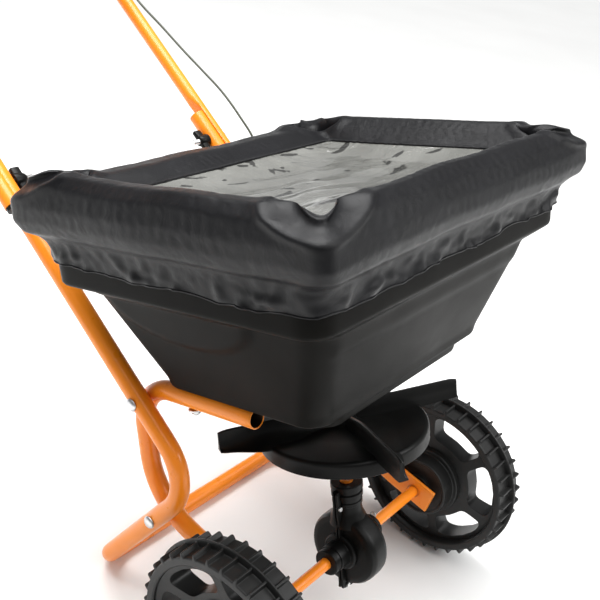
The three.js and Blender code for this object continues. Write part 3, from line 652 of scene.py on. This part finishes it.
def wheel_piece(where, side):
    wheel = Build()
    pitch = 2 * math.pi / CLEATS
    phases = (0.0, 0.06, 0.12, 0.26, 0.38, 0.44, 0.5, 0.56, 0.62, 0.74, 0.88, 0.94)
    inner_row = (0, 0, 0, 0, 0, 1, 1, 1, 0, 0, 0, 0)
    outer_row = (1, 1, 0, 0, 0, 0, 0, 0, 0, 0, 0, 1)
    # place across the tread, radius between cleats, share of the inner and the outer row's cleat
    stations = [(2, 110, 0, 0), (0.4, 112, 0, 0), (0, 118.5, 0, 0), (0.3, 120, 0.55, 0), (1.5, 121, 0.95, 0),
                (4, 121, 1, 0), (24.5, 121, 1, 0), (26.3, 121.4, 1, 0), (26.6, 129.8, 0, 0),
                (27.2, 131, 0, 0), (28.8, 131, 0, 0), (29.4, 129.8, 0, 0), (29.7, 121.4, 0, 1),
                (31.5, 121, 0, 1), (52, 121, 0, 1), (54.5, 121, 0, 0.95), (55.7, 120, 0, 0.55),
                (56, 118.5, 0, 0), (55.6, 112, 0, 0), (54, 110, 0, 0), (28, 109, 0, 0)]
    rings = []
    for x, base, a, b in stations:
        ring = []
        for i in range(CLEATS):
            for phase, high_a, high_b in zip(phases, inner_row, outer_row):
                radius = base + (CLEAT_TOP - TREAD) * (a * high_a + b * high_b)
                angle = (i + phase) * pitch
                ring.append((x, radius * math.cos(angle), radius * math.sin(angle)))
        rings.append(ring)
    wheel.rings(rings, closed=True)
    # dished web with six rounded windows between its spokes
    spokes, count = 6, 48
    half = math.pi / spokes

    def web_point(theta, radius, face):
        t = (radius - 52) / 60
        x = (6 + 9 * t) if face == 0 else (33 + 18 * t ** 1.4)
        return (x, radius * math.cos(theta), radius * math.sin(theta))

    for spoke in range(spokes):
        middle = 2 * half * spoke + half + math.pi / 2
        points = []
        for face in (0, 1):
            for share in (1, 0.22, 0):  # from the sector's edge to the window's
                for c, s in circle(count):
                    u, v = squared(c, 0.42), squared(s, 0.42)
                    big = max(abs(u), abs(v))
                    edge = (u / big * half, 82 + v / big * 30)
                    radius = 84.5 + 18.5 * v
                    window = (u * (half - math.asin(7.5 / radius)), radius)
                    theta, radius = lerp(window, edge, share)
                    points.append(web_point(middle + theta, radius, face))
        faces = grid_faces(3, count) + grid_faces(3, count, first=3 * count)
        for k in range(count):
            j = (k + 1) % count
            faces.append((2 * count + k, 2 * count + j, 5 * count + j, 5 * count + k))
        wheel.add(points, faces)
    # stepped hub barrel, with the raised ring and the outer boss
    wheel.lathe([(9, -31), (18.6, -31), (20, -30), (20, -25), (26, -24), (40, -25), (42.5, -28), (45, -28),
                 (46, -27), (46, -5), (47, -4), (51.6, -4), (53, -2.6), (53, 18), (55, 30), (55, 36),
                 (50, 34), (46, 31.5), (40, 31), (28, 34), (25.5, 37), (24, 58.4), (22.6, 60), (11, 60),
                 (9, 58.6)], steps=64)
    wheel.move(lambda p: Vector((side * (WHEEL_X + p.x), p.y, p.z)))
    body = "axle" if side < 0 else "free_wheel"
    wheel.piece(f"wheel_{where}_moulded", TYRE, body, f"wheel_{where}", bevel=0.9, weld=0.02)


for where, side in SIDES:
    wheel_piece(where, side)


# ---- gearbox and spinner
def gearbox():
    case = Build()
    case.lathe([(0.5, -19), (40, -19), (45, -18.4), (49.6, -16.4), (52.2, -12.6), (53, -8), (53, 8),
                (52.2, 12.6), (49.6, 16.4), (45, 18.4), (40, 19), (0.5, 19)], steps=64, closed=False)
    for s in (-1, 1):
        case.lathe([(0.5, s * 15), (26, s * 15), (26, s * 22), (24, s * 24), (19.5, s * 24.6), (19, s * 26),
                    (19, s * 39), (18.5, s * 41), (17, s * 41.5), (16.6, s * 43), (16.6, s * 46),
                    (18, s * 46.6), (18, s * 52), (17, s * 53), (0.5, s * 53)], steps=40, closed=False)
    case.lathe([(0.5, 30), (26, 38), (24.6, 46), (21, 54), (19.4, 60), (19, 68), (20.4, 69), (20.4, 73),
                (19, 74), (19, 79), (21.4, 80), (21.4, 85), (19.4, 86.4), (19.4, 90), (22, 91), (22, 98),
                (21, 99), (0.5, 99)], "Z", steps=48, closed=False)
    for where, s in (("front", -1), ("rear", 1)):
        half = Build()
        half.points, half.faces = list(case.points), list(case.faces)
        outline = [(-24, -49)]
        for k in range(9):
            a = math.radians(-114 + 6 * k)
            outline.append((61 * math.cos(a), 61 * math.sin(a)))
        outline += [(24, -49), (24.5, -20), (25, 38), (27, 58), (27, 90), (24, 93),
                    (-24, 93), (-27, 90), (-27, 58), (-25, 38), (-24.5, -20)]
        low, high = sorted((s * 1.1, s * 4))
        rings = [[(px, y, pz) for px, pz in outline] for y in (low, high)]
        half.rings(rings)
        half.piece(f"gearbox_{where}_shell", PLASTIC, "frame", f"gearbox_{where}",
                   bevel=0.8, keep=((0, s * 0.2, 0), (0, -s, 0)))


gearbox()


BLADE_ROOT, BLADE_END = 12, 167


def spinner_piece():
    disc = Build()
    disc.lathe([(5, 181.8), (100, 181.8), (106, 180.6), (107.6, 178), (107.8, 165.4), (108.4, 165),
                (110.4, 165), (111, 165.6), (111, 180.5), (110.4, 183.4), (108.6, 185.3), (105, 186),
                (60, 186.2), (24, 187), (18, 190), (16, 198), (15, 202), (13.6, 203), (5, 203)],
               "Z", steps=96)
    disc.lathe([(5, 159), (14.4, 159), (15, 159.6), (15, 182), (5, 182)], "Z", steps=32)
    for k in range(4):
        turn = math.radians(60 + 90 * k)
        ahead = Vector((math.cos(turn), math.sin(turn), 0))
        across = Vector((-ahead.y, ahead.x, 0))
        rings = []
        for i in range(25):
            r = BLADE_ROOT + (BLADE_END - BLADE_ROOT) * i / 24
            toe = 6 + 22 * smooth(10, 85, r) - 19 * smooth(105, BLADE_END, r)
            under = 183 + 1.5 * smooth(111, BLADE_END, r)
            crown = 203 + 8.8 * smooth(12, 70, r) - 1.0 * smooth(155, BLADE_END, r)
            if i == 24:
                toe, under, crown = toe - 1, under + 0.8, crown - 1
            section = [(toe, under + 0.4), (toe, under + 1.8), (toe * 0.72, under + 3.4), (toe * 0.46, 189.6),
                       (toe * 0.27, 194.6), (toe * 0.15, 199.5), (2.0, crown - 1), (1.0, crown),
                       (-1.2, crown), (-2.0, crown - 1), (-2.6, 196), (-3.4, 189), (-4.4, under + 0.4),
                       (-2.4, under), (toe * 0.5, under)]
            rings.append([ahead * r + across * w + Vector((0, 0, z)) for w, z in section])
        disc.rings(rings)
    disc.piece("spinner_disc", PLASTIC, "spinner", "spinner", angle=38)


spinner_piece()

# ---- grip, knobs and fasteners
grip_profile = [(12, -118), (15.2, -118), (16.6, -117.2), (17, -115.6), (17, -112)]
grip_profile += [(17 - 0.5 * (k % 2), -108 + 8 * k) for k in range(28)]
grip_profile += [(17, 112), (17, 115.6), (16.6, 117.2), (15.2, 118), (12, 118)]
grip = Build().lathe(grip_profile, centre=(0, *upper_high), steps=40).piece(
    "handle_grip_foam", FOAM, "upper_handle", "handle_grip", angle=60)


def dome(part, radius, face, height, direction, centre, axis="X"):
    """A domed bolt head that stands off a face."""
    profile = [(radius, 0), (radius, 0.18), (radius * 0.93, 0.45), (radius * 0.75, 0.75),
               (radius * 0.45, 0.94), (0.4, 1)]
    profile = [(0.4, face)] + [(r, face + direction * height * h) for r, h in profile]
    part.lathe(profile, axis, centre, 28, False)


def hexagon(part, radius, low, high, centre, axis="X"):
    low, high = sorted((low, high))
    part.lathe([(0.4, low), (radius * 0.88, low), (radius, low + 0.8), (radius, high - 0.8),
                (radius * 0.88, high), (0.4, high)], axis, centre, 6, False, 0.3)


for where, side in SIDES:
    for level, centre in (("upper", (0, 167, 251)), ("lower", (0, 164, 86))):
        bolt = Build().lathe([(0.4, side * 143.3), (3.5, side * 143.3), (4, side * 144), (4, side * 204.5),
                              (0.4, side * 204.5)], centre=centre, steps=20, closed=False)
        dome(bolt, 8.5, side * 204, 4.2, side, centre)
        hexagon(bolt, 7.5, side * 145.3, side * 152, centre)
        node = f"frame_bolt_{level}_{where}"
        bolt.piece(f"{node}_domed", ZINC, "frame", node, bevel=0.3)

    centre = (0, *BOLT)
    bolt = Build().lathe([(0.4, side * 148), (3.4, side * 148), (4, side * 149), (4, side * 213),
                          (0.4, side * 213)], centre=centre, steps=20, closed=False)
    for k in range(9):  # thread
        start = 149.5 + 2 * k
        bolt.lathe([(3.8, side * start), (4.3, side * (start + 0.5)), (3.8, side * (start + 1)),
                    (3.6, side * (start + 0.5))], centre=centre, steps=20)
    dome(bolt, 8.5, side * 212.6, 4.2, side, centre)
    node = f"joint_bolt_{where}"
    bolt.piece(f"{node}_domed", ZINC, "frame", node, angle=40)

    centre = (side * SIDE_TUBE_X, 95, 0)
    bolt = Build().lathe([(0.4, 240.3), (2.6, 240.3), (3, 241), (3, 282), (0.4, 282)], "Z", centre, 16, False)
    hexagon(bolt, 6, 242.3, 247.3, centre, "Z")
    bolt.lathe([(3.2, 247.1), (9, 247.1), (9, 249), (3.2, 249)], "Z", centre, 28)
    dome(bolt, 6.5, 278.8, 3.2, 1, centre, "Z")
    node = f"hopper_bolt_{where}"
    bolt.piece(f"{node}_domed", ZINC, "frame", node, bevel=0.3)


def wing_knob(where, side):
    """A moulded wing knob: a fluted hub with two rounded wings along the handle."""
    knob = Build()
    face = 177.9
    knob.lathe([(4.6, side * face), (9.6, side * face), (10, side * (face - 1)), (9, side * (face - 13)),
                (7.6, side * (face - 17)), (6.4, side * (face - 18)), (4.6, side * (face - 18))],
               centre=(0, *BOLT), steps=32)
    for way in (-1, 1):
        rings = []
        for t in (0, 0.25, 0.5, 0.75, 0.92, 1):
            s = way * (4 + 15 * t)
            thick = (5.4 - 1.2 * t) * (1 if t < 0.99 else 0.6)
            deep = (7.6 - 0.6 * t) * (1 if t < 0.99 else 0.85)
            middle = face - 9.6 - 1.0 * t
            rings.append([(side * (middle + squared(q, 0.6) * deep), *on_handle(s, squared(c, 0.6) * thick))
                          for c, q in circle(16)])
        knob.rings(rings)
    knob.piece(f"wing_knob_{where}_moulded", PLASTIC, f"knob_{where}", f"wing_knob_{where}", angle=50)


for where, side in SIDES:
    wing_knob(where, side)


def cotter(name, x, wire):
    """A split pin: two legs through the axle, an eye above it and bent tips below."""
    eye = []
    for k in range(21):
        a = math.radians(-58 + 296 * k / 20)
        eye.append((x, 4.2 * math.cos(a), 15.4 + 4.2 * math.sin(a)))
    leg = [(x, 0.75, 11 - 2 * k) for k in range(11)] + [(x, 1.3, -11.5), (x, 2.6, -12.6), (x, 5.0, -13)]
    route = leg[::-1] + eye + [(x, -y, z) for x, y, z in leg]
    Build().tube(route, wire * 0.55, 10).piece(f"{name}_wire", ZINC, "axle", name, angle=60)


cotter("cotter_pin_gearbox", 57, 1.6)
cotter("cotter_pin_right", -269, 2.0)
cotter("cotter_pin_left", 269, 2.0)

LEVER_PIVOT, LEVER_LEAN = 385, math.radians(24)


def lever_knob():
    lean, length = LEVER_LEAN, 86
    s, n = LEVER_PIVOT - length * math.sin(lean), 40 + length * math.cos(lean)
    y, z = on_handle(s, n)
    ahead = Vector((0, *on_handle(s - math.sin(lean), n + math.cos(lean)))) - Vector((0, y, z))
    knob = Build().lathe([(5, -15), (8.4, -14.6), (9.4, -13), (10.2, -6), (11.6, 2), (12.2, 7), (11, 12),
                          (7.4, 15.2), (3, 16.1), (0.4, 16.2), (0.4, -15)], "Z", steps=36)
    turn = ahead.to_track_quat("Z", "Y").to_matrix()
    knob.move(lambda p: turn @ Vector((p.x * 0.95, p.y, p.z)) + Vector((146.5, y, z)))
    knob.piece("lever_knob_moulded", PLASTIC, "control_lever", "lever_knob", angle=50)


lever_knob()


# ---- control cable
def catmull_rom(points, steps):
    """Evenly spaced stations on a centripetal Catmull-Rom curve through points."""
    points = [Vector(p) for p in points]
    points = [points[0] * 2 - points[1], *points, points[-1] * 2 - points[-2]]
    dense = []
    for p0, p1, p2, p3 in zip(points, points[1:], points[2:], points[3:]):
        t1 = (p1 - p0).length ** 0.5
        t2 = t1 + (p2 - p1).length ** 0.5
        t3 = t2 + (p3 - p2).length ** 0.5
        for k in range(24):
            t = t1 + (t2 - t1) * k / 24
            a1 = p0.lerp(p1, t / t1)
            a2 = p1.lerp(p2, (t - t1) / (t2 - t1))
            a3 = p2.lerp(p3, (t - t2) / (t3 - t2))
            b1 = a1.lerp(a2, t / t2)
            b2 = a2.lerp(a3, (t - t1) / (t3 - t1))
            dense.append(b1.lerp(b2, (t - t1) / (t2 - t1)))
    dense.append(points[-2])
    lengths = [0.0]
    for a, b in zip(dense, dense[1:]):
        lengths.append(lengths[-1] + (b - a).length)
    wanted = np.linspace(0, lengths[-1], steps + 1)
    columns = [np.interp(wanted, lengths, [p[i] for p in dense]) for i in range(3)]
    return [Vector(c) for c in zip(*columns)]


CABLE_X = 152
WIRE_X, WIRE_Z = 30, 257
SLEEVE, WIRE, FERRULE = 1.75, 0.9, 2.4  # radii
JACKET_END = 138
lever_end = LEVER_PIVOT - 34 * math.sin(LEVER_LEAN) - 4.5
cable_route = catmull_rom([
    (WIRE_X, 224, WIRE_Z), (30.6, 228, 257.4), (38, 247, 267), (56, 260, 287), (82, 264, 318),
    (108, 262, 354), (130, 258, 394), (145, 256, 434), (151, 255.5, 472),
    *((CABLE_X, y, z) for y, z in (
        (257, 512), (285, 552), (316, 586), (353, 617), (390, 647), (432, 683), (483, 726),
        on_handle(290, 70.5), on_handle(lever_end - 24, 71), on_handle(lever_end, 71))),
], 150)
thickness = [SLEEVE if i < JACKET_END else WIRE for i in range(len(cable_route))]
thickness[JACKET_END - 3:JACKET_END] = [FERRULE] * 3
cable = Build().tube(cable_route, thickness, 12)
# ferrule behind the stop plate, hollow so that the wire slides in it
cable.lathe([(1.3, 196.4), (2.6, 196.4), (3.0, 197), (3.0, 223), (2.4, 225.5), (0.4, 225.5), (0.4, 224.6),
             (1.3, 224.4)], "Y", (WIRE_X, 0, WIRE_Z), 16)
cable = cable.piece("control_cable_sleeved", JACKET, None, "control_cable", angle=60)
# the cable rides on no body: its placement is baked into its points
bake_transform(cable)

wire = Build().tube([(WIRE_X, 152.6 + 2.1 * k, WIRE_Z) for k in range(21)], 0.8, 10)
wire.lathe([(0.6, 152.4), (2.2, 152.4), (2.6, 153), (2.6, 157), (2.0, 158), (0.6, 158)],
           "Y", (WIRE_X, 0, WIRE_Z), 16)
wire.piece("gate_pull_wire", ZINC, "gate", angle=50)

# ---- rain cover
ALONG_X, ALONG_Y = 80, 64
AROUND = 2 * (ALONG_X + ALONG_Y)
SKIRT_TOP, WINDOW_SAG = 473, 7
POCKET_END = 1.5  # the reach at which a corner's pocket has died out
PROFILE = [  # half width, front, rear, corner radius, height, from the window's edge to the hem
    (203, -152, 159, 8, 511), (209, -157, 168, 10, 514), (226, -168, 199, 17, 530), (240, -178, 218, 22, 540),
    (254, -189, 234, 22, 539), (266, -198, 245, 19, 527), (273.5, -203.5, 250.5, 15, 507),
    (274, -204, 250.5, 15, 490), (270, -200, 244, 19, 477), (262.5, -191.5, 233, 26, 471.5),
    (260, -186, 227, 30, 466), (259, -183, 224.5, 32, 458), (258.5, -181, 223, 31, 449),
    (258, -180, 222, 30, 440),
]


CORNERS = (0, ALONG_X, ALONG_X + ALONG_Y, 2 * ALONG_X + ALONG_Y, AROUND)


def from_corner(column):
    """Columns from the nearest corner's middle, with their sign."""
    return column - min(CORNERS, key=lambda corner: abs(column - corner))


def pocket_reach(away, row):
    """Distance from the middle of a corner's pleat pocket, 1 at its lip."""
    return math.hypot(away / 9.4, (row - 13.2) / 7.6)


def ripple(*place):
    return noise(Vector(place))


def hump(offset, width):
    return math.exp(-((offset / width) ** 2))


def pleat(p, away, r, along, outward):
    """A low notch in the crest where two rolls meet, and a pleat pocket below it."""
    p.z -= 9 * (hump(away, 2.8) * smooth(2, 8, r) * (1 - smooth(13, 17, r)))
    reach = pocket_reach(away, r)
    if reach >= POCKET_END:
        return
    lip, turn, under_lip = hump(reach - 1.08, 0.13), smooth(8, 15, r), 1 - smooth(14, 21, r)
    groove = hump(reach - 0.70, 0.18) * (0.3 + 0.7 * under_lip)
    bulge = hump(away, 5.5) * smooth(9, 15, r)
    deep = (1 - smooth(0.80, 0.98, reach)) * (9 + 13 * groove - 5 * bulge)
    p.z -= deep * (1 - turn)
    p -= outward * deep * turn
    p.z += 3.0 * lip * (1 - turn)
    p += outward * 4.0 * lip * turn
    tuck = hump(reach - 0.84, 0.10)
    p += along * math.copysign(6.0, away) * tuck * smooth(0, 6, abs(away))
    p.z += 6.0 * tuck * under_lip * smooth(0, 6, 16 - r)


def cover_rings():
    """The fabric's points, ring by ring from the window's edge to the hem."""
    rows = divided(PROFILE, 5.2)
    points = []
    for r, row in enumerate(rows):
        z_row = row[4]
        ring = around_rectangle(*row, ALONG_X, ALONG_Y)
        for c, (x, y, z) in enumerate(ring):
            along = Vector(ring[(c + 1) % AROUND]) - Vector(ring[c - 1])
            along.normalize()
            outward = Vector((along.y, -along.x, 0))
            p = Vector((x, y, z))
            # soft unevenness of the roll
            p += outward * 2.4 * ripple(c * 0.05, r * 0.10, 3.7)
            p.z += 3.4 * ripple(x * 0.009, y * 0.009, 8.1) * smooth(0, 4, r)
            # the back roll lies flatter between its corners, the near rear corner stands higher
            p.z -= 12 * smooth(190, 225, y) * smooth(505, 530, z_row) * (1 - smooth(150, 235, abs(x)))
            p.z += 5 * smooth(60, 200, y) * smooth(-180, -240, x) * smooth(505, 530, z_row)
            # gathers of the skirt: crumpled folds that die out at the roll
            if z_row < SKIRT_TOP:
                depth = 1 - smooth(446, 472, z_row)
                wave = ripple(c * 0.42, z_row * 0.05, 1.3)
                wave += 0.8 * ripple(c * 0.23, z_row * 0.11, 5.9)
                p += outward * (max(0.0, wave + 0.10) * 6.5 * (0.25 + 0.75 * depth))
                p.z += 3.6 * depth * ripple(c * 0.17, 0.4, 9.2)
            pleat(p, from_corner(c), r, along, outward)
            points.append(tuple(p))
    return points, len(rows)


def cover_mesh():
    """(points, fabric faces, film faces, rows of the fabric), with the window inside the first ring."""
    points, rows = cover_rings()
    rim = [(ALONG_X - c, ALONG_Y) for c in range(ALONG_X)] + [(0, ALONG_Y - c) for c in range(ALONG_Y)]
    rim += [(c, 0) for c in range(ALONG_X)] + [(ALONG_X, c) for c in range(ALONG_Y)]
    index = {place: c for c, place in enumerate(rim)}
    edge = {place: Vector(points[c]) for place, c in index.items()}
    for j in range(1, ALONG_Y):
        for i in range(1, ALONG_X):
            u, v = i / ALONG_X, j / ALONG_Y
            p = edge[(0, j)].lerp(edge[(ALONG_X, j)], u) + edge[(i, 0)].lerp(edge[(i, ALONG_Y)], v)
            front = edge[(0, 0)].lerp(edge[(ALONG_X, 0)], u)
            rear = edge[(0, ALONG_Y)].lerp(edge[(ALONG_X, ALONG_Y)], u)
            p -= front.lerp(rear, v)
            p.z -= WINDOW_SAG * (1 - (2 * u - 1) ** 4) * (1 - (2 * v - 1) ** 4)
            p.z += 2.4 * ripple(p.x * 0.018, p.y * 0.03, 2.2)
            index[(i, j)] = len(points)
            points.append(tuple(p))
    film = [(index[(i, j)], index[(i + 1, j)], index[(i + 1, j + 1)], index[(i, j + 1)])
            for j in range(ALONG_Y) for i in range(ALONG_X)]
    return points, grid_faces(rows, AROUND), film, rows


def settle(points, faces, weights, frames=22, most=0.010):
    """Cloth simulation over the hopper's rim, in which no point moves more than most metres."""
    mesh = bpy.data.meshes.new("settling")
    mesh.from_pydata([MM @ Vector(p) for p in points], [], faces)
    cloth = in_scene("settling", mesh)
    group = cloth.vertex_groups.new(name="held")
    for i, weight in enumerate(weights):
        if weight > 0:
            group.add([i], weight, "REPLACE")
    rim = Build().rings([around_rectangle(*row, 24, 20) for row in (
        (249, -170, 209, 44, 440), (253, -174, 213, 50, 492), (259.5, -180.5, 219.5, 52, 492.5),
        (259.5, -180.5, 219.5, 52, 501), (249, -170, 209, 44, 501))], ends=False).piece("rim", TUB, "frame")
    rim.modifiers.new("collision", "COLLISION")
    rim.collision.thickness_outer = 0.0015
    rim.collision.cloth_friction = 8
    modifier = cloth.modifiers.new("cloth", "CLOTH")
    s = modifier.settings
    s.quality = 5
    s.mass = 0.2
    s.tension_stiffness, s.compression_stiffness, s.shear_stiffness = 30, 30, 10
    s.bending_stiffness = 0.6
    s.air_damping = 2.0
    s.vertex_group_mass = "held"
    s.pin_stiffness = 3.0
    s.shrink_min = s.shrink_max = -0.012
    s.effector_weights.gravity = 0.6
    modifier.collision_settings.distance_min = 0.0015
    modifier.point_cache.frame_start, modifier.point_cache.frame_end = 1, frames
    for f in range(1, frames + 1):
        scene.frame_set(f)
    shown = cloth.evaluated_get(bpy.context.evaluated_depsgraph_get())
    settled = np.array([shown.matrix_world @ v.co for v in shown.data.vertices])
    scene.frame_set(1)
    start = np.array([v.co for v in mesh.vertices])
    bpy.data.objects.remove(cloth)
    bpy.data.objects.remove(rim)
    moved = settled - start
    size = np.linalg.norm(moved, axis=1, keepdims=True)
    return start + moved * np.minimum(1, most / np.maximum(size, 1e-9))


def pin_weight(i):
    """How firmly the simulation holds a point: the film is free, the hem and the pockets hardly move."""
    r, c = divmod(i, AROUND)
    if r >= rows:
        return 0.0
    if r in (0, rows - 1):
        return 0.6 if r == 0 else 1.0
    z = points[i][2]
    pocket = 1 - smooth(1.0, POCKET_END, pocket_reach(from_corner(c), r))
    return max(0.55 if z > 476 else 0.25, 0.85 * pocket, 0.8 * hump(z - 472, 7))


points, fabric_faces, film_faces, rows = cover_mesh()
places = settle(points, fabric_faces + film_faces, [pin_weight(i) for i in range(len(points))])


def flat_place(i):
    """A point's place on the flat cloth in metres, unrolled from the window's edge outwards."""
    r, c = divmod(i, AROUND)
    return (c * 0.0062, r * 0.0052) if r < rows else (points[i][0] * 0.001, points[i][1] * 0.001)


def cloth_piece(name, faces, material, node):
    """An object of some faces of the settled cloth."""
    used = sorted({i for f in faces for i in f})
    renumber = {old: new for new, old in enumerate(used)}
    mesh = bpy.data.meshes.new(name)
    mesh.from_pydata([Vector(places[i]) for i in used], [], [[renumber[i] for i in f] for f in faces])
    layer = mesh.uv_layers.new(name="UVMap")
    for polygon in mesh.polygons:
        polygon.use_smooth = True
        for loop in polygon.loop_indices:
            layer.data[loop].uv = flat_place(used[mesh.loops[loop].vertex_index])
    mesh.materials.append(material)
    piece = in_scene(name, mesh)
    subdivision = piece.modifiers.new("subdivision", "SUBSURF")
    subdivision.levels = subdivision.render_levels = 1
    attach(piece, "frame")
    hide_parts(node)
    return piece


fabric = cloth_piece("rain_cover_cloth", fabric_faces, NYLON, "rain_cover")
window = cloth_piece("cover_window_film", film_faces, VINYL, "cover_window")
window.modifiers.new("film", "SOLIDIFY").thickness = 0.0006

to_machine = MM.inverted()


def settled_ring(r):
    return [to_machine @ Vector(place) for place in places[r * AROUND:(r + 1) * AROUND]]


edge_path = settled_ring(0)
hem = Build().tube(settled_ring(rows - 1), 1.0, 8, closed=True).piece(
    "cover_hem_elastic", NYLON, "frame", angle=80)
sewn = Build()
seam = [a.lerp(b, 0.6) for a, b in zip(edge_path, settled_ring(1))]
rise = Vector((0, 0, 0.7))
for a, b in zip(seam, seam[1:] + seam[:1]):
    stitch = [a.lerp(b, t) + rise * (1 - (2 * t - 1) ** 2) for t in (0.12, 0.3, 0.5, 0.7, 0.88)]
    sewn.tube(stitch, [0.25, 0.55, 0.6, 0.55, 0.25], 6)
stitches = sewn.piece("window_stitching", FOAM, "frame", slot="nylon_cloth", angle=80)
piping = Build().tube([p + Vector((0, 0, 0.6)) for p in edge_path], 1.5, 8, closed=True).piece(
    "window_binding", NYLON, "frame", angle=80)

# ---- carried-over CAD pieces
slot_of = {s["node"]: s["material_slot"] for s in frame["record"]["subparts"]}
for name, node in frame["nodes"].items():
    if node.hide_render:
        continue
    node.data.materials.clear()
    node.data.materials.append(SLOTS[slot_of[name]])
    for polygon in node.data.polygons:
        polygon.use_smooth = True
    if name != "agitator":
        soften_edges(node, 0.35)


# ---- stage
def pale():
    n = Nodes("pale_floor", Roughness=0.9)
    n.colour(n.tones((2, 2), (0.90, 0.90, 0.89), (0.93, 0.93, 0.92)))
    return n.done()


floor_mesh = bpy.data.meshes.new("floor")
floor_mesh.from_pydata([(-30, -30, 0), (30, -30, 0), (30, 30, 0), (-30, 30, 0)], [], [(0, 1, 2, 3)])
floor = in_scene("floor", floor_mesh)
floor_mesh.materials.append(pale())


def area_light(name, place, target, size, energy):
    lamp = bpy.data.lights.new(name, "AREA")
    lamp.size, lamp.energy = size, energy
    light = in_scene(name, lamp)
    light.location = place
    light.rotation_euler = (Vector(target) - Vector(place)).to_track_quat("-Z", "Y").to_euler()


area_light("top", (-0.1, 0.5, 2.5), (0, -0.2, 0.5), 1.7, 78)
area_light("front", (1.3, -2.6, 2.1), (0, -0.2, 0.4), 1.3, 34)
sky = bpy.data.lights.new("overhead", "SUN")
sky.energy, sky.angle = 2.3, math.radians(70)
overhead = in_scene("overhead", sky)
overhead.rotation_euler = Vector((-0.25, 0.45, -1.6)).to_track_quat("-Z", "Y").to_euler()
world = bpy.data.worlds.new("studio")
world.use_nodes = True
world.node_tree.nodes["Background"].inputs["Color"].default_value = (0.98, 0.99, 1.0, 1)
world.node_tree.nodes["Background"].inputs["Strength"].default_value = 0.30
scene.world = world
scene.view_settings.view_transform = "Standard"
